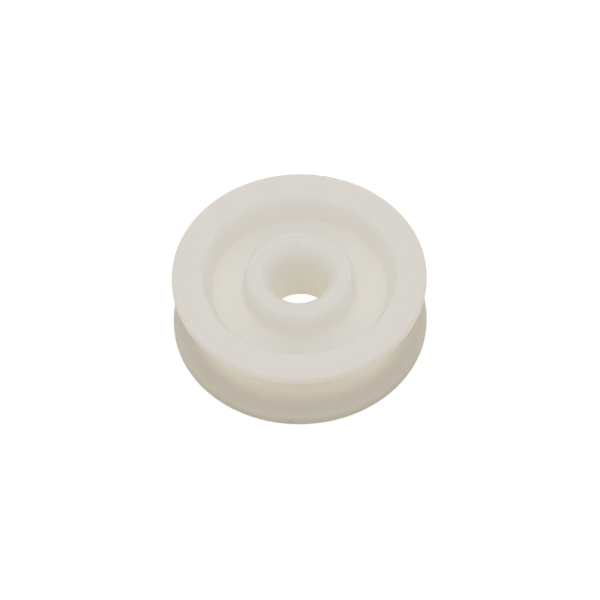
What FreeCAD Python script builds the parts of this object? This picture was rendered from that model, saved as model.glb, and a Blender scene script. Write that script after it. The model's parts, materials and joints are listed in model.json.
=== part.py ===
import FreeCAD, Part
import math
import os

# A plain rope sheave of natural nylon, moulded in one piece.
# Its axis is Z, and the origin is on the axis, halfway across the rope groove.
# It lies on the lower end of its hub. Lengths are in millimetres, angles in degrees.

# Rim: two flanges, each with a flat land round it.
rim_diameter = 45.0
rim_width = 14.2
rim_edge_round = 0.5

# Rope groove: a round floor that runs smoothly into two sloping flanks, with a soft lip at the land.
groove_floor_diameter = 34.0
groove_floor_round = 4.4
groove_flank_angle = 20.0
groove_lip_round = 1.0

# Recess in each face, between the hub and the flange. Its outer wall slopes outwards.
recess_mouth_diameter = 34.5
recess_floor_diameter = 31.0
recess_depth = 4.0
recess_mouth_round = 0.2
recess_floor_fillet = 0.5

# Hub: a little longer than the rim is wide, and thicker at its foot.
hub_length = 15.0
hub_end_diameter = 18.8
hub_draft_angle = 6.0
hub_edge_round = 0.4
hub_foot_fillet = 0.8

# Bore for a plain pin, with a 45 degree chamfer at each end that rolls softly into it.
pin_diameter = 10.0
pin_clearance = 0.2
bore_chamfer = 1.75
bore_chamfer_roll = 2.0

sharp = 0.0


def upper_corners():
    """Corners of the upper half of the section, from the bore outwards, as (radius, height, round)."""
    rim_radius = rim_diameter / 2
    rim_half = rim_width / 2
    recess_floor = rim_half - recess_depth
    hub_half = hub_length / 2
    hub_end_radius = hub_end_diameter / 2
    hub_foot_radius = hub_end_radius + (hub_half - recess_floor) * math.tan(math.radians(hub_draft_angle))
    bore_radius = (pin_diameter + pin_clearance) / 2

    # Each flank is a tangent to the groove's round floor, carried out to the rim.
    flank = math.radians(groove_flank_angle)
    round_centre = groove_floor_diameter / 2 + groove_floor_round
    lip_height = groove_floor_round / math.cos(flank) + (rim_radius - round_centre) * math.tan(flank)
    flank_foot_radius = round_centre - groove_floor_round * math.sin(flank)
    flank_foot_height = groove_floor_round * math.cos(flank)

    return [
        (bore_radius, hub_half - bore_chamfer, bore_chamfer_roll),
        (bore_radius + bore_chamfer, hub_half, sharp),
        (hub_end_radius, hub_half, hub_edge_round),
        (hub_foot_radius, recess_floor, hub_foot_fillet),
        (recess_floor_diameter / 2, recess_floor, recess_floor_fillet),
        (recess_mouth_diameter / 2, rim_half, recess_mouth_round),
        (rim_radius, rim_half, rim_edge_round),
        (rim_radius, lip_height, groove_lip_round),
        (flank_foot_radius, flank_foot_height, sharp),
    ]


def corner_arc(before, corner, after, radius):
    """The arc that rounds a corner of the section, tangent to the sides that lead to its neighbours."""
    towards_before = (before - corner).normalize()
    towards_after = (after - corner).normalize()
    half_angle = towards_before.getAngle(towards_after) / 2
    setback = radius / math.tan(half_angle)
    depth = radius / math.sin(half_angle) - radius
    inwards = (towards_before + towards_after).normalize()
    start = corner + towards_before * setback
    middle = corner + inwards * depth
    end = corner + towards_after * setback
    return Part.Arc(start, middle, end)


def outline_edges(corners):
    """Straight sides and corner arcs, in order, along an open outline of (point, round) pairs."""
    edges = []
    reached = corners[0][0]
    for (before, _), (corner, radius), (after, _) in zip(corners, corners[1:], corners[2:]):
        if radius == sharp:
            edges.append(Part.LineSegment(reached, corner).toShape())
            reached = corner
            continue
        arc = corner_arc(before, corner, after, radius)
        edges.append(Part.LineSegment(reached, arc.StartPoint).toShape())
        edges.append(arc.toShape())
        reached = arc.EndPoint
    edges.append(Part.LineSegment(reached, corners[-1][0]).toShape())
    return edges


def sheave_section():
    """Half of the section, from the axis side to the groove: the upper corners and their mirror image."""
    upper = [(FreeCAD.Vector(radius, 0, height), rounding) for radius, height, rounding in upper_corners()]
    lower = [(FreeCAD.Vector(point.x, 0, -point.z), rounding) for point, rounding in reversed(upper)]
    edges = outline_edges(lower + upper)
    upper_flank_foot = upper[-1][0]
    groove_floor = FreeCAD.Vector(groove_floor_diameter / 2, 0, 0)
    lower_flank_foot = lower[0][0]
    edges.append(Part.Arc(upper_flank_foot, groove_floor, lower_flank_foot).toShape())
    return Part.Face(Part.Wire(edges))


def make_sheave():
    """The whole sheave: its section turned once round the axis."""
    centre = FreeCAD.Vector(0, 0, 0)
    axis = FreeCAD.Vector(0, 0, 1)
    full_turn = 360
    return sheave_section().revolve(centre, axis, full_turn)


os.makedirs("parts", exist_ok=True)
sheave = make_sheave()
sheave.exportStep("parts/sheave.step")
print(f"sheave: valid {sheave.isValid()}, {len(sheave.Solids)} solid, {sheave.Volume:.1f} mm3")
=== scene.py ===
# %% [markdown]
# # A rope sheave in natural nylon
#
# The object is a small pulley wheel, moulded in one piece: two flanges with a rope groove between them, a
# recess in each face, and a hub with a bore for its pin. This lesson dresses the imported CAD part. It loads
# that part as a fixed frame, turns the wheel's section round its axis with Geometry Nodes, gives it the
# look of undyed nylon, and sets up a table, soft light and a camera. Blender works in metres here, so a
# size in millimetres is multiplied by `MM`.

import json
import math

import bmesh
import bpy
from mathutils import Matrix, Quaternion, Vector


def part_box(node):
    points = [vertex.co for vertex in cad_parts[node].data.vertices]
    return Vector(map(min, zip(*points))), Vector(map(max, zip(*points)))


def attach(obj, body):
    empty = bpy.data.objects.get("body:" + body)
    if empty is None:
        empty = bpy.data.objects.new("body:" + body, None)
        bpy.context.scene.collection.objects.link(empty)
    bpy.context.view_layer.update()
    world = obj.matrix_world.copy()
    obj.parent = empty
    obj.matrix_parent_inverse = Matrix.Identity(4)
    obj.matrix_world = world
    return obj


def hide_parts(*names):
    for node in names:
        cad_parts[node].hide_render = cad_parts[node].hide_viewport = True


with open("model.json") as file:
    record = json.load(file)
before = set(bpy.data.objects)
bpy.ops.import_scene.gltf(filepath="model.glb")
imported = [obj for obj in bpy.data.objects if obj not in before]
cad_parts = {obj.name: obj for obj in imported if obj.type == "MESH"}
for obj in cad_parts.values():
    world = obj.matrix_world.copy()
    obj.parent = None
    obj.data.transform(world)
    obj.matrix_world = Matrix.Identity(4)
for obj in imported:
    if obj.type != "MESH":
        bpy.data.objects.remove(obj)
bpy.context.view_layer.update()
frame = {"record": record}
MM = 0.001

# %% [markdown]
# ## Colours and nodes
#
# Colours are easiest to read as the hex values of a paint chart, but shaders count light itself, so one
# function turns sRGB into linear values. Shapes and finishes are both made of nodes here. A second function
# adds one node to any tree, changes its settings and feeds its sockets, either with plain values or with
# another node's output.

# %% Colour and node helpers
def linear_colour(hex_code):
    """An sRGB colour, such as "DEDBD3", as the linear RGBA that shaders take."""
    channels = [int(hex_code[start:start + 2], 16) / 255 for start in (0, 2, 4)]
    linear = [c / 12.92 if c <= 0.04045 else ((c + 0.055) / 1.055) ** 2.4 for c in channels]
    return (*linear, 1.0)


def add_node(tree, kind, feeds=None, **settings):
    """One node in a tree, with its settings, fed with values or with the outputs of other nodes."""
    node = tree.nodes.new(kind)
    for name, value in settings.items():
        setattr(node, name, value)
    for socket, feed in (feeds or {}).items():
        if isinstance(feed, bpy.types.NodeSocket):
            tree.links.new(feed, node.inputs[socket])
        else:
            node.inputs[socket].default_value = feed
    return node


print("a mid grey, linear:", round(linear_colour("808080")[0], 3))

# %% [markdown]
# ## The sizes of the wheel
#
# The wheel is a body of revolution, so a few diameters, heights and rounds say all of it. The overall sizes
# and the bore come from the frame, which keeps this model on the CAD part. The others repeat the real sizes
# of the part. The outer edge of the bore's chamfer is sharp in the CAD and gets a tiny round here, because
# no moulded edge is a perfect line to the eye. A CAD mesh is faceted, so its box is a hair smaller on one
# side, and the smallest side is taken.

# %% Sizes of the sheave
low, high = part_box("sheave")
axle_bore = next(mount for mount in frame["record"]["mounts"] if mount["name"] == "axle_bore")
sheave_sizes = {
    "Rim Diameter": 2 * min(-low.x, high.x, -low.y, high.y),
    "Rim Width": 14.2 * MM,
    "Rim Edge Round": 0.5 * MM,
    "Groove Floor Diameter": 34.0 * MM,
    "Groove Floor Round": 4.4 * MM,
    "Groove Flank Angle": math.radians(20.0),
    "Groove Lip Round": 1.0 * MM,
    "Recess Mouth Diameter": 34.5 * MM,
    "Recess Floor Diameter": 31.0 * MM,
    "Recess Depth": 4.0 * MM,
    "Recess Mouth Round": 0.2 * MM,
    "Recess Floor Fillet": 0.5 * MM,
    "Hub Length": high.z - low.z,
    "Hub End Diameter": 18.8 * MM,
    "Hub Draft Angle": math.radians(6.0),
    "Hub Edge Round": 0.4 * MM,
    "Hub Foot Fillet": 0.8 * MM,
    "Bore Diameter": 2 * axle_bore["dims"]["r_mm"] * MM,
    "Bore Chamfer": 1.75 * MM,
    "Bore Mouth Round": 0.15 * MM,
    "Bore Chamfer Roll": 2.0 * MM,
}
print("rim, mm:", round(sheave_sizes["Rim Diameter"] / MM, 2))

# %% [markdown]
# ## The node tree and its named sizes
#
# A turned shape could be spun in mesh code, or made with the Screw modifier. Geometry Nodes fit it better,
# because each size stays a named input that can be changed later, and the rule behind the shape can be read
# in the tree. The first nodes work out the corners' places: each line below is one Math node that makes a
# new length out of two others.

# %% Lengths that follow from the sizes
lathe = bpy.data.node_groups.new("sheave_lathe", "GeometryNodeTree")
lathe.interface.new_socket("Sheave", in_out="OUTPUT", socket_type="NodeSocketGeometry")
for name in sheave_sizes:
    lathe.interface.new_socket(name, in_out="INPUT", socket_type="NodeSocketFloat")
lathe.interface.new_socket("Facets Round", in_out="INPUT", socket_type="NodeSocketInt")
for name in ("Facet Length", "Knock Reach", "Knock Depth", "Knock Grain", "Knock Seed"):
    lathe.interface.new_socket(name, in_out="INPUT", socket_type="NodeSocketFloat")
lathe.interface.new_socket("Nylon", in_out="INPUT", socket_type="NodeSocketMaterial")
sizes = add_node(lathe, "NodeGroupInput").outputs

length_steps = [
    ("rim radius", "MULTIPLY", "Rim Diameter", 0.5),
    ("rim half", "MULTIPLY", "Rim Width", 0.5),
    ("recess mouth radius", "MULTIPLY", "Recess Mouth Diameter", 0.5),
    ("recess floor radius", "MULTIPLY", "Recess Floor Diameter", 0.5),
    ("recess floor height", "SUBTRACT", "rim half", "Recess Depth"),
    ("hub half", "MULTIPLY", "Hub Length", 0.5),
    ("hub radius", "MULTIPLY", "Hub End Diameter", 0.5),
    ("hub rise", "SUBTRACT", "hub half", "recess floor height"),
    ("hub slope", "TANGENT", "Hub Draft Angle", 0.0),
    ("hub foot spread", "MULTIPLY", "hub rise", "hub slope"),
    ("hub foot radius", "ADD", "hub radius", "hub foot spread"),
    ("bore radius", "MULTIPLY", "Bore Diameter", 0.5),
    ("bore mouth radius", "ADD", "bore radius", "Bore Chamfer"),
    ("bore end height", "SUBTRACT", "hub half", "Bore Chamfer"),
    ("groove floor radius", "MULTIPLY", "Groove Floor Diameter", 0.5),
    ("groove round centre", "ADD", "groove floor radius", "Groove Floor Round"),
    ("flank sine", "SINE", "Groove Flank Angle", 0.0),
    ("flank slope", "TANGENT", "Groove Flank Angle", 0.0),
    ("apex setback", "DIVIDE", "Groove Floor Round", "flank sine"),
    ("groove apex radius", "SUBTRACT", "groove round centre", "apex setback"),
    ("flank reach", "SUBTRACT", "rim radius", "groove apex radius"),
    ("groove lip height", "MULTIPLY", "flank reach", "flank slope"),
]
lengths = {socket.name: socket for socket in sizes}
for name, operation, first, second in length_steps:
    terms = {0: lengths.get(first, first), 1: lengths.get(second, second)}
    lengths[name] = add_node(lathe, "ShaderNodeMath", terms, operation=operation).outputs[0]
print("section:", len(sheave_sizes), "sizes and", len(length_steps), "lengths worked out from them")

# %% [markdown]
# ## The corners of the section
#
# Cut through on one side of its axis, the wheel shows a closed outline. Its two faces are alike, so only
# the corners of the upper half are listed, each with the round that a mould gives it. The flanks of the
# groove are carried inwards until they meet, and the round floor of the groove is simply the large round at
# that corner. The tree folds the index of 17 points about the middle, so that corners 9 to 16 are 8 to 1
# again with their heights turned over.

# %% Corners of the section
section_corners = [
    ("groove apex radius", None, "Groove Floor Round"),
    ("rim radius", "groove lip height", "Groove Lip Round"),
    ("rim radius", "rim half", "Rim Edge Round"),
    ("recess mouth radius", "rim half", "Recess Mouth Round"),
    ("recess floor radius", "recess floor height", "Recess Floor Fillet"),
    ("hub foot radius", "recess floor height", "Hub Foot Fillet"),
    ("hub radius", "hub half", "Hub Edge Round"),
    ("bore mouth radius", "hub half", "Bore Mouth Round"),
    ("bore radius", "bore end height", "Bore Chamfer Roll"),
]
fold = len(section_corners) - 0.5
index = add_node(lathe, "GeometryNodeInputIndex").outputs[0]
from_fold = add_node(lathe, "ShaderNodeMath", {0: fold, 1: index}, operation="SUBTRACT").outputs[0]
side = add_node(lathe, "ShaderNodeMath", {0: from_fold}, operation="SIGN").outputs[0]
steps_away = add_node(lathe, "ShaderNodeMath", {0: from_fold}, operation="ABSOLUTE").outputs[0]
corner_index = add_node(lathe, "ShaderNodeMath", {0: fold, 1: steps_away}, operation="SUBTRACT").outputs[0]

corner_values = []
for column in zip(*section_corners):
    switch = add_node(lathe, "GeometryNodeIndexSwitch", {"Index": corner_index}, data_type="FLOAT")
    while len(switch.index_switch_items) < len(section_corners):
        switch.index_switch_items.new()
    for slot, length in enumerate(column):
        if length:
            lathe.links.new(lengths[length], switch.inputs[str(slot)])
    corner_values.append(switch.outputs[0])
corner_radius, corner_height, corner_round = corner_values
print("corners of the upper half:", len(section_corners))

# %% [markdown]
# ## Rounding the outline
#
# The 17 points become one closed outline. Fillet Curve rounds each corner by its own radius, with more
# points on a larger round. Straight stretches are then divided too: where a long facet meets a tiny round,
# smooth shading would bend across the whole facet, and short facets keep that bend too small to see.

# %% Outline with rounded corners
POINTS_PER_METRE_OF_ROUND = 5000.0
FEWEST_ROUND_POINTS = 5.0
inward = add_node(
    lathe, "ShaderNodeMath", {0: corner_radius, 1: lengths["rim radius"]}, operation="SUBTRACT")
height = add_node(lathe, "ShaderNodeMath", {0: corner_height, 1: side}, operation="MULTIPLY")
place = add_node(lathe, "ShaderNodeCombineXYZ", {"X": inward.outputs[0], "Y": height.outputs[0]})
corner_points = add_node(
    lathe, "GeometryNodePoints",
    {"Count": 2 * len(section_corners) - 1, "Position": place.outputs[0], "Radius": corner_round})
outline = add_node(lathe, "GeometryNodePointsToCurves", {"Points": corner_points.outputs[0]})
straight = add_node(lathe, "GeometryNodeCurveSplineType", {"Curve": outline.outputs[0]}, spline_type="POLY")
closed = add_node(lathe, "GeometryNodeSetSplineCyclic", {"Geometry": straight.outputs[0], "Cyclic": True})
own_round = add_node(lathe, "GeometryNodeInputRadius").outputs[0]
round_points = add_node(
    lathe, "ShaderNodeMath",
    {0: own_round, 1: POINTS_PER_METRE_OF_ROUND, 2: FEWEST_ROUND_POINTS}, operation="MULTIPLY_ADD")
rounded = add_node(
    lathe, "GeometryNodeFilletCurve",
    {"Curve": closed.outputs[0], "Count": round_points.outputs[0], "Radius": own_round}, mode="POLY")

here = add_node(lathe, "GeometryNodeInputPosition").outputs[0]
next_point = add_node(lathe, "GeometryNodeOffsetPointInCurve", {"Offset": 1})
there = add_node(
    lathe, "GeometryNodeFieldAtIndex",
    {"Value": here, "Index": next_point.outputs["Point Index"]}, data_type="FLOAT_VECTOR")
facet = add_node(lathe, "ShaderNodeVectorMath", {0: here, 1: there.outputs[0]}, operation="DISTANCE")
cuts = add_node(
    lathe, "ShaderNodeMath", {0: facet.outputs["Value"], 1: lengths["Facet Length"]}, operation="DIVIDE")
section = add_node(
    lathe, "GeometryNodeSubdivideCurve", {"Curve": rounded.outputs[0], "Cuts": cuts.outputs[0]})
print("points on a 1 mm round:", int(POINTS_PER_METRE_OF_ROUND * MM + FEWEST_ROUND_POINTS))

# %% [markdown]
# ## Turning the section round the axis
#
# Curve to Mesh carries a profile along a path. With the rim's own circle as the path, and the section
# measured inwards from that circle, it does what a lathe does. Both curves are closed, so the mesh has no
# seam and no pole to mend.

# %% Turned wheel
circle = add_node(
    lathe, "GeometryNodeCurvePrimitiveCircle",
    {"Resolution": lengths["Facets Round"], "Radius": lengths["rim radius"]})
turned = add_node(
    lathe, "GeometryNodeCurveToMesh",
    {"Curve": circle.outputs["Curve"], "Profile Curve": section.outputs[0]})
print("lathe so far:", len(lathe.nodes), "nodes")

# %% [markdown]
# ## Knocks on the edges
#
# Edges catch the knocks when plastic parts tumble together in a box, and this wheel has a few: on the outer
# edge of the upper flange, and on the edge of the recess. They could be sculpted by hand. Here each is a
# place on an edge, by its corner of the section and its bearing round the axis, and a field says how close
# each point of the wheel is to the nearest one. Points close to a knock will sink along their normals.
# Nothing moves outwards, so the wheel stays inside its CAD size.

# %% Knocks on the edges
edge_knocks = [
    ("rim radius", "rim half", 79.5),
    ("rim radius", "rim half", 70.0),
    ("recess mouth radius", "rim half", 222.0),
    ("recess mouth radius", "rim half", 229.0),
    ("recess mouth radius", "rim half", 235.0),
]


def towards(bearing):
    """The direction outwards from the axis at a bearing in degrees, counted from +X towards +Y."""
    return (math.cos(math.radians(bearing)), math.sin(math.radians(bearing)), 0.0)


closeness = 0.0
for edge_radius, edge_height, bearing in edge_knocks:
    on_radius = add_node(
        lathe, "ShaderNodeVectorMath",
        {0: towards(bearing), "Scale": lengths[edge_radius]}, operation="SCALE")
    rise = add_node(lathe, "ShaderNodeCombineXYZ", {"Z": lengths[edge_height]})
    centre = add_node(
        lathe, "ShaderNodeVectorMath", {0: on_radius.outputs[0], 1: rise.outputs[0]}, operation="ADD")
    away = add_node(lathe, "ShaderNodeVectorMath", {0: here, 1: centre.outputs[0]}, operation="DISTANCE")
    near = add_node(
        lathe, "ShaderNodeMapRange",
        {
            "Value": away.outputs["Value"],
            "From Min": 0.0,
            "From Max": lengths["Knock Reach"],
            "To Min": 1.0,
            "To Max": 0.0,
        },
        interpolation_type="SMOOTHSTEP")
    closeness = add_node(
        lathe, "ShaderNodeMath", {0: closeness, 1: near.outputs[0]}, operation="MAXIMUM").outputs[0]
print("knocks:", len(edge_knocks))

# %% [markdown]
# ## Sinking the knocks
#
# The depth of each knock is broken up by noise with a fixed seed, so that it looks struck and not drilled,
# and comes out the same each time. Then the tree ends as every tree here must: smooth shading, Realize
# Instances so that the export finds real faces, and Set Material so that the wheel carries its nylon.

# %% Sink the knocks and end the tree
grain_scale = add_node(lathe, "ShaderNodeMath", {0: 1.0, 1: lengths["Knock Grain"]}, operation="DIVIDE")
knock_noise = add_node(
    lathe, "ShaderNodeTexNoise",
    {"Vector": here, "W": lengths["Knock Seed"], "Scale": grain_scale.outputs[0]}, noise_dimensions="4D")
rough = add_node(lathe, "ShaderNodeMath", {0: knock_noise.outputs[0], 1: closeness}, operation="MULTIPLY")
sunk = add_node(
    lathe, "ShaderNodeMath", {0: rough.outputs[0], 1: lengths["Knock Depth"]}, operation="MULTIPLY")
inwards = add_node(lathe, "ShaderNodeMath", {0: sunk.outputs[0], 1: -1.0}, operation="MULTIPLY")
outward_normal = add_node(lathe, "GeometryNodeInputNormal").outputs[0]
shift = add_node(
    lathe, "ShaderNodeVectorMath", {0: outward_normal, "Scale": inwards.outputs[0]}, operation="SCALE")
knocked = add_node(
    lathe, "GeometryNodeSetPosition", {"Geometry": turned.outputs[0], "Offset": shift.outputs[0]})
smooth = add_node(lathe, "GeometryNodeSetShadeSmooth", {"Geometry": knocked.outputs[0]})
realized = add_node(lathe, "GeometryNodeRealizeInstances", {"Geometry": smooth.outputs[0]})
dressed = add_node(
    lathe, "GeometryNodeSetMaterial", {"Geometry": realized.outputs[0], "Material": lengths["Nylon"]})
add_node(lathe, "NodeGroupOutput", {"Sheave": dressed.outputs[0]})
print("lathe tree:", len(lathe.nodes), "nodes")

# %% [markdown]
# ## Helpers for the finishes
#
# The nylon, the table and the room are all node trees. A new material or world comes with nodes in it, so
# one helper empties its tree. The lines on the wheel and the light below it are both laid out round the
# axis, so another gives each point's distance from it. The Mix node has a set of sockets for each kind of
# value, with the same names in every set, so its colour sockets are picked by number.

# %% Helpers for the finishes
MIX_A, MIX_B, MIXED = 6, 7, 2


def cleared_tree(owner):
    """The node tree of a new material or world, without the nodes that it comes with."""
    owner.use_nodes = True
    owner.node_tree.nodes.clear()
    return owner.node_tree


def round_axis(tree, coordinates):
    """A point's X, Y and Z, its X and Y alone as one vector, and its distance from the axis."""
    apart = add_node(tree, "ShaderNodeSeparateXYZ", {0: coordinates}).outputs
    flat = add_node(tree, "ShaderNodeCombineXYZ", {"X": apart["X"], "Y": apart["Y"]}).outputs[0]
    radius = add_node(tree, "ShaderNodeVectorMath", {0: flat}, operation="LENGTH").outputs["Value"]
    return apart, flat, radius


print("colour sockets of Mix:", MIX_A, "and", MIX_B, "in,", MIXED, "out")

# %% [markdown]
# ## Fine dark lines, partly painted shade
#
# Thin dark lines run along a few edges of this wheel, each over part of the way round. The line in the
# crease at the foot of the recess wall and the lines along the front of the recess mouth are painted shade.
# The line on the outer edge of the upper flange, among the knocks, is wear. The others darken the hub's top
# edge and two faint arcs behind the bore. Lines this thin could be painted on a texture. As a rule they need
# no picture: a point is dark when it is close to one place on the section and its bearing is within a span.
# The real lines are thinner than a pixel of this picture, so they are drawn about 0.2 mm wide and paler than
# they are.

# %% Fine dark lines and painted shade
lines_and_painted_shade = [
    # place on the section as radius and height in mm, middle bearing and half span in degrees, darkness
    # a dark line round the hub's top edge, at the back and the sides
    (9.30, 7.40, 90.0, 140.0, 0.30),
    # painted shade in the crease at the foot of the recess wall
    (15.50, 3.10, 88.0, 26.0, 0.25),
    # painted shade along the front of the recess mouth's round
    (17.25, 7.10, 228.0, 12.0, 0.50),
    (17.25, 7.10, 268.0, 14.0, 0.30),
    (17.25, 7.10, 298.0, 8.0, 0.30),
    # painted shade in the crease at the foot of the recess wall
    (15.50, 3.10, 32.0, 5.0, 0.40),
    # two faint arcs on the hub top, behind the bore
    (8.05, 7.50, 93.0, 17.0, 0.16),
    (6.90, 7.50, 100.0, 14.0, 0.14),
    # wear on the outer edge of the upper flange, among the knocks
    (22.25, 7.00, 71.0, 16.0, 0.65),
]
LINE_CORE = 0.05 * MM
LINE_EDGE = 0.18 * MM
LINE_BREAKS = 0.7 * MM
GONE_BELOW = 0.3
WHOLE_ABOVE = 0.5
FULL_SHARE = 0.6


def line_darkness(tree, coordinates):
    """How dark the fine lines and the painted shade are at each point, from 0 to 1."""
    apart, flat, radius = round_axis(tree, coordinates)
    on_section = add_node(tree, "ShaderNodeCombineXYZ", {"X": radius, "Y": apart["Z"]}).outputs[0]
    outwards = add_node(tree, "ShaderNodeVectorMath", {0: flat}, operation="NORMALIZE").outputs[0]
    darkest = 0.0
    for radius_mm, height_mm, bearing, half_span, darkness in lines_and_painted_shade:
        line_place = (radius_mm * MM, height_mm * MM, 0.0)
        away = add_node(tree, "ShaderNodeVectorMath", {0: on_section, 1: line_place}, operation="DISTANCE")
        line = add_node(
            tree, "ShaderNodeMapRange",
            {
                "Value": away.outputs["Value"],
                "From Min": LINE_CORE,
                "From Max": LINE_EDGE,
                "To Min": darkness,
                "To Max": 0.0,
            },
            interpolation_type="SMOOTHSTEP")
        facing = add_node(
            tree, "ShaderNodeVectorMath", {0: outwards, 1: towards(bearing)}, operation="DOT_PRODUCT")
        span_end = math.cos(math.radians(half_span))
        span_full = math.cos(math.radians(half_span * FULL_SHARE))
        within = add_node(
            tree, "ShaderNodeMapRange",
            {"Value": facing.outputs["Value"], "From Min": span_end, "From Max": span_full},
            interpolation_type="SMOOTHSTEP")
        stretch = add_node(
            tree, "ShaderNodeMath", {0: line.outputs[0], 1: within.outputs[0]}, operation="MULTIPLY")
        darkest = add_node(
            tree, "ShaderNodeMath", {0: stretch.outputs[0], 1: darkest}, operation="MAXIMUM").outputs[0]
    breaks = add_node(
        tree, "ShaderNodeTexNoise", {"Vector": coordinates, "Scale": 1 / LINE_BREAKS, "Detail": 1.0})
    whole = add_node(
        tree, "ShaderNodeMapRange",
        {"Value": breaks.outputs[0], "From Min": GONE_BELOW, "From Max": WHOLE_ABOVE})
    broken = add_node(tree, "ShaderNodeMath", {0: darkest, 1: whole.outputs[0]}, operation="MULTIPLY")
    return broken.outputs[0]


print("fine lines:", len(lines_and_painted_shade))

# %% [markdown]
# ## Natural nylon, as moulded
#
# Undyed nylon is a milky plastic. Light goes some way into it before it comes out again, so thin edges
# glow, shadows are soft, and what has travelled far comes out warmer. A plain diffuse colour would look
# like chalk, and subsurface scattering does what the real plastic does. The tint and the polish drift a
# little over the wheel, as they do where the melt cooled at different speeds. The mould's fine
# spark-eroded grain gives the satin finish. That grain is about 0.02 mm, too fine to show, so the bump is
# drawn at 0.35 mm.

# %% Natural nylon
CLOUD_SIZE = 9.0 * MM
SMOOTHEST = 0.4
ROUGHEST = 0.6
GRAIN_SIZE = 0.35 * MM
GRAIN_DEPTH = 0.02 * MM
GRAIN_STRENGTH = 0.08
LIGHT_REACH = 17.0 * MM


def natural_nylon_as_moulded():
    """Undyed nylon from the mould: milky and satin, warm where light has gone a long way through it."""
    material = bpy.data.materials.new("natural_nylon_as_moulded")
    tree = cleared_tree(material)
    coordinates = add_node(tree, "ShaderNodeTexCoord").outputs["Object"]
    clouds = add_node(
        tree, "ShaderNodeTexNoise", {"Vector": coordinates, "Scale": 1 / CLOUD_SIZE, "Detail": 3.0})
    tint = add_node(
        tree, "ShaderNodeMix",
        {"Factor": clouds.outputs[0], MIX_A: linear_colour("EBE9E0"), MIX_B: linear_colour("EDEBE4")},
        data_type="RGBA")
    # Dark lines mix the tint towards A8A294: painted shade in the recess crease and along the front of its
    # mouth, wear on the rim's edge.
    lines = line_darkness(tree, coordinates)
    lined_and_shaded = add_node(
        tree, "ShaderNodeMix",
        {"Factor": lines, MIX_A: tint.outputs[MIXED], MIX_B: linear_colour("A8A294")}, data_type="RGBA")
    grain = add_node(
        tree, "ShaderNodeTexNoise", {"Vector": coordinates, "Scale": 1 / GRAIN_SIZE, "Detail": 4.0})
    bump = add_node(
        tree, "ShaderNodeBump",
        {"Height": grain.outputs[0], "Strength": GRAIN_STRENGTH, "Distance": GRAIN_DEPTH})
    satin = add_node(
        tree, "ShaderNodeMapRange", {"Value": clouds.outputs[0], "To Min": SMOOTHEST, "To Max": ROUGHEST})
    nylon = add_node(
        tree, "ShaderNodeBsdfPrincipled",
        {
            "Base Color": lined_and_shaded.outputs[MIXED],
            "Roughness": satin.outputs[0],
            "IOR": 1.53,
            "Subsurface Weight": 1.0,
            "Subsurface Radius": (1.0, 1.0, 1.0),
            "Subsurface Scale": LIGHT_REACH,
            "Normal": bump.outputs[0],
        })
    add_node(tree, "ShaderNodeOutputMaterial", {"Surface": nylon.outputs[0]})
    print("natural nylon:", len(tree.nodes), "nodes")
    return material


nylon = natural_nylon_as_moulded()

# %% [markdown]
# ## The finished piece
#
# A blank object carries the node tree as a modifier. Its inputs are set by each socket's identifier,
# because two names could be alike and an identifier never is. The evaluated result then becomes a plain
# mesh, which exports as it is, and the blank goes. A count of open edges and the signed volume show that
# the skin is closed and faces outwards.

# %% Make the sheave
blank = bpy.data.objects.new("sheave_blank", bpy.data.meshes.new("sheave_blank"))
bpy.context.scene.collection.objects.link(blank)
turning = blank.modifiers.new("turning", "NODES")
turning.node_group = lathe
turning_values = {
    **sheave_sizes,
    "Facets Round": 320,
    "Facet Length": 0.6 * MM,
    "Knock Reach": 0.9 * MM,
    "Knock Depth": 0.16 * MM,
    "Knock Grain": 0.5 * MM,
    "Knock Seed": 3.0,
    "Nylon": nylon,
}
for item in lathe.interface.items_tree:
    if item.in_out == "INPUT":
        turning[item.identifier] = turning_values[item.name]
evaluated = blank.evaluated_get(bpy.context.evaluated_depsgraph_get())
sheave_mesh = bpy.data.meshes.new_from_object(evaluated)
sheave_mesh.name = "moulded_sheave"
bpy.data.objects.remove(blank)
sheave = bpy.data.objects.new("moulded_sheave", sheave_mesh)
bpy.context.scene.collection.objects.link(sheave)
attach(sheave, "root")
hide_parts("sheave")

shell = bmesh.new()
shell.from_mesh(sheave_mesh)
open_edges = sum(not edge.is_manifold for edge in shell.edges)
print("faces:", len(shell.faces), "open edges:", open_edges)
print("volume, mm3:", round(shell.calc_volume(signed=True) / MM ** 3, 1))
shell.free()

# %% [markdown]
# ## The background
#
# The wheel stands on a plain white ground, as things do in a catalogue. A white floor under enough light to
# look white would also light the wheel too strongly. So the ground is white only to the rays that show it:
# those from the camera, those in a reflection and those through a clear part. All other rays meet the real
# table and the real room. One helper tells the two apart, and the table and the world both use it.

# %% Rays that show the background
SHOWING_RAYS = ("Is Camera Ray", "Is Glossy Ray", "Is Transmission Ray")


def seen_directly(tree):
    """1 for the rays that show the background: from the camera, in a reflection or through a clear part."""
    path = add_node(tree, "ShaderNodeLightPath").outputs
    seen = 0.0
    for ray in SHOWING_RAYS:
        seen = add_node(tree, "ShaderNodeMath", {0: seen, 1: path[ray]}, operation="MAXIMUM").outputs[0]
    return seen


print("white ground for:", ", ".join(SHOWING_RAYS))

# %% [markdown]
# ## A light panel in the table
#
# The inside of the bore and the floor of the recess are brighter than light from above can make them: some
# of it comes up through the plastic. Small translucent things are often photographed on a light panel, so
# the table has one. It glows white in a disc below the bore, and a cooler white in a ring below the recess,
# more to the left and right than in front and behind. A lamp under the table could do the same, but then
# the table would have to be glass. Here the glow is a rule of the distance from the axis, and it ends well
# inside the wheel's edge.

# %% Light panel
DISC_RADIUS = 4.8 * MM
DISC_GLOW = 0.5
RING_MIDDLE = 12.5 * MM
RING_HALF_WIDTH = 3.0 * MM
RING_GLOW = 0.22
RING_SIDE_GLOW = 0.52


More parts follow.
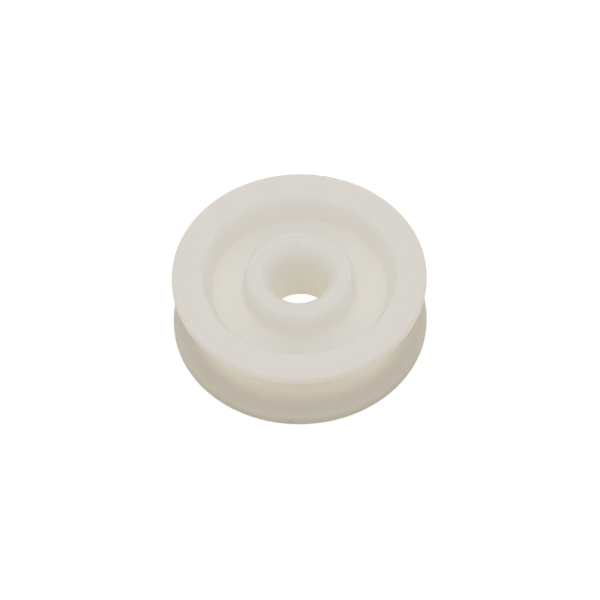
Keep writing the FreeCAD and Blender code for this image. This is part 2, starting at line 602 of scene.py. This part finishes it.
def panel_glow(tree, coordinates):
    """How strongly the panel glows at each point of the table, and 1 for the points of its disc."""
    apart, _, radius = round_axis(tree, coordinates)
    sideways = add_node(tree, "ShaderNodeMath", {0: apart["X"], 1: radius}, operation="DIVIDE").outputs[0]
    sides = add_node(tree, "ShaderNodeMath", {0: sideways, 1: 2.0}, operation="POWER").outputs[0]
    ring_glow = add_node(
        tree, "ShaderNodeMath", {0: sides, 1: RING_SIDE_GLOW, 2: RING_GLOW}, operation="MULTIPLY_ADD")
    ring = add_node(
        tree, "ShaderNodeMath", {0: radius, 1: RING_MIDDLE, 2: RING_HALF_WIDTH}, operation="COMPARE")
    lit_ring = add_node(
        tree, "ShaderNodeMath", {0: ring.outputs[0], 1: ring_glow.outputs[0]}, operation="MULTIPLY")
    disc = add_node(tree, "ShaderNodeMath", {0: radius, 1: DISC_RADIUS}, operation="LESS_THAN").outputs[0]
    glow = add_node(
        tree, "ShaderNodeMath", {0: disc, 1: DISC_GLOW, 2: lit_ring.outputs[0]}, operation="MULTIPLY_ADD")
    return glow.outputs[0], disc


print("panel reaches, mm:", round((RING_MIDDLE + RING_HALF_WIDTH) / MM, 1), "from the axis")

# %% [markdown]
# ## The table
#
# The table top is matt cream paint, which throws a little warm light up at the wheel. To the camera it is a
# nearly white glow with a thin grey paint over it: the paint takes the wheel's shadow, so the wheel stands
# on the ground and doesn't float. Seen from below the table is clear, so that the underside of the wheel
# can be looked at too.

# %% Matt cream table
GROUND_GLOW = 0.93


def matt_cream_table():
    """Matt cream paint with a light panel: warm to the light, white with a soft shadow to the camera."""
    material = bpy.data.materials.new("matt_cream_table")
    tree = cleared_tree(material)
    coordinates = add_node(tree, "ShaderNodeTexCoord").outputs["Object"]
    paint = add_node(tree, "ShaderNodeBsdfDiffuse", {"Color": linear_colour("F6F1E4")})
    glow, in_disc = panel_glow(tree, coordinates)
    panel_colour = add_node(
        tree, "ShaderNodeMix",
        {"Factor": in_disc, MIX_A: linear_colour("ECF1FF"), MIX_B: linear_colour("FFFFFF")},
        data_type="RGBA")
    panel = add_node(tree, "ShaderNodeEmission", {"Color": panel_colour.outputs[MIXED], "Strength": glow})
    lit = add_node(tree, "ShaderNodeAddShader", {0: paint.outputs[0], 1: panel.outputs[0]})
    shadow_paint = add_node(tree, "ShaderNodeBsdfDiffuse", {"Color": linear_colour("616161")})
    white = add_node(tree, "ShaderNodeEmission", {"Strength": GROUND_GLOW})
    shown = add_node(tree, "ShaderNodeAddShader", {0: shadow_paint.outputs[0], 1: white.outputs[0]})
    top = add_node(
        tree, "ShaderNodeMixShader", {0: seen_directly(tree), 1: lit.outputs[0], 2: shown.outputs[0]})
    below = add_node(tree, "ShaderNodeNewGeometry").outputs["Backfacing"]
    clear = add_node(tree, "ShaderNodeBsdfTransparent")
    one_sided = add_node(tree, "ShaderNodeMixShader", {0: below, 1: top.outputs[0], 2: clear.outputs[0]})
    add_node(tree, "ShaderNodeOutputMaterial", {"Surface": one_sided.outputs[0]})
    return material


TABLE_HALF = 1.5
TABLE_GAP = 0.01 * MM
table_height = low.z - TABLE_GAP
square = [(-1, -1), (1, -1), (1, 1), (-1, 1)]
table_corners = [(x * TABLE_HALF, y * TABLE_HALF, table_height) for x, y in square]
table_mesh = bpy.data.meshes.new("table")
table_mesh.from_pydata(table_corners, [], [(0, 1, 2, 3)])
table_mesh.materials.append(matt_cream_table())
table = bpy.data.objects.new("table", table_mesh)
bpy.context.scene.collection.objects.link(table)
print("table at, mm:", round(table_height / MM, 2))

# %% [markdown]
# ## The room
#
# Most of the light comes from the room itself, from all sides at once, which is why the wheel has hardly
# any hard shadow. The walls are cream and the ceiling is a cool white. That small difference is what makes
# the upright faces and the groove look warmer than the flat top. A picture of a studio could light the
# wheel as well, but two colours, mixed by how steeply a ray goes up, are enough.

# %% Room
ROOM_LIGHT = 0.733
WALLS_END = 0.2
CEILING_STARTS = 0.7
world = bpy.data.worlds.new("cream_room")
room = cleared_tree(world)
direction = add_node(room, "ShaderNodeTexCoord").outputs["Generated"]
steepness = add_node(room, "ShaderNodeSeparateXYZ", {0: direction}).outputs["Z"]
overhead = add_node(
    room, "ShaderNodeMapRange", {"Value": steepness, "From Min": WALLS_END, "From Max": CEILING_STARTS})
room_colour = add_node(
    room, "ShaderNodeMix",
    {"Factor": overhead.outputs[0], MIX_A: linear_colour("F6E4B8"), MIX_B: linear_colour("F0F3FF")},
    data_type="RGBA")
room_light = add_node(
    room, "ShaderNodeBackground", {"Color": room_colour.outputs[MIXED], "Strength": ROOM_LIGHT})
backdrop = add_node(room, "ShaderNodeBackground", {"Color": linear_colour("FFFFFF"), "Strength": 1.0})
surroundings = add_node(
    room, "ShaderNodeMixShader", {0: seen_directly(room), 1: room_light.outputs[0], 2: backdrop.outputs[0]})
add_node(room, "ShaderNodeOutputWorld", {"Surface": surroundings.outputs[0]})
bpy.context.scene.world = world
print("room light:", ROOM_LIGHT)

# %% [markdown]
# ## The softbox
#
# One long softbox hangs over the table and runs from front to back. It adds a little light that has a
# direction, so that the recess and the hub keep their form. A small lamp would draw hard shadows and bright
# spots, which a satin plastic under studio light doesn't show. Light that goes into nylon is scattered many
# times and also crosses from wall to wall inside the bore, the recess and the groove. With Blender's usual
# four diffuse bounces those hollows would go dark, so the number is raised.

# %% Softbox
SOFTBOX_WIDTH = 0.3
SOFTBOX_LENGTH = 2.4
SOFTBOX_HEIGHT = 0.8
SOFTBOX_WATTS = 1.45
BOUNCES = 48
softbox_light = bpy.data.lights.new("long_softbox", "AREA")
softbox_light.shape = "RECTANGLE"
softbox_light.size = SOFTBOX_WIDTH
softbox_light.size_y = SOFTBOX_LENGTH
softbox_light.energy = SOFTBOX_WATTS
softbox = bpy.data.objects.new("long_softbox", softbox_light)
softbox.location = (0.0, 0.0, SOFTBOX_HEIGHT)
softbox.visible_camera = False
bpy.context.scene.collection.objects.link(softbox)
bpy.context.scene.cycles.max_bounces = BOUNCES
bpy.context.scene.cycles.diffuse_bounces = BOUNCES
print("softbox, W:", SOFTBOX_WATTS, "bounces:", BOUNCES)

# %% [markdown]
# ## The camera
#
# The picture was taken from well above, so that the top face is a wide oval and only a low band of the
# groove shows. The upper and lower rims are ovals of the same shape, which means a long lens from far away.
# The lens is worked out from how many pixels a millimetre of the wheel takes. The aim is a little off the
# wheel's middle, and a small roll follows the tilt of the picture. The view transform is Standard, so that
# a colour comes out as it was written.

# %% Camera
IMAGE_WIDTH = 600
PIXELS_PER_MM = 5.64
CAMERA_DISTANCE = 1.299
camera_elevation = math.radians(53.88)
camera_roll = math.radians(-1.35)
aim = Vector((0.04 * MM, 0.0, -0.45 * MM))

camera_data = bpy.data.cameras.new("camera")
field_width = IMAGE_WIDTH / PIXELS_PER_MM * MM
camera_data.lens = camera_data.sensor_width * CAMERA_DISTANCE / field_width
camera = bpy.data.objects.new("camera", camera_data)
from_aim = Vector((0.0, -math.cos(camera_elevation), math.sin(camera_elevation)))
camera.location = aim + from_aim * CAMERA_DISTANCE
camera.rotation_mode = "QUATERNION"
level = (-from_aim).to_track_quat("-Z", "Y")
camera.rotation_quaternion = level @ Quaternion((0.0, 0.0, 1.0), camera_roll)
bpy.context.scene.collection.objects.link(camera)
bpy.context.scene.camera = camera
bpy.context.scene.view_settings.view_transform = "Standard"
print("lens, mm:", round(camera_data.lens, 1))
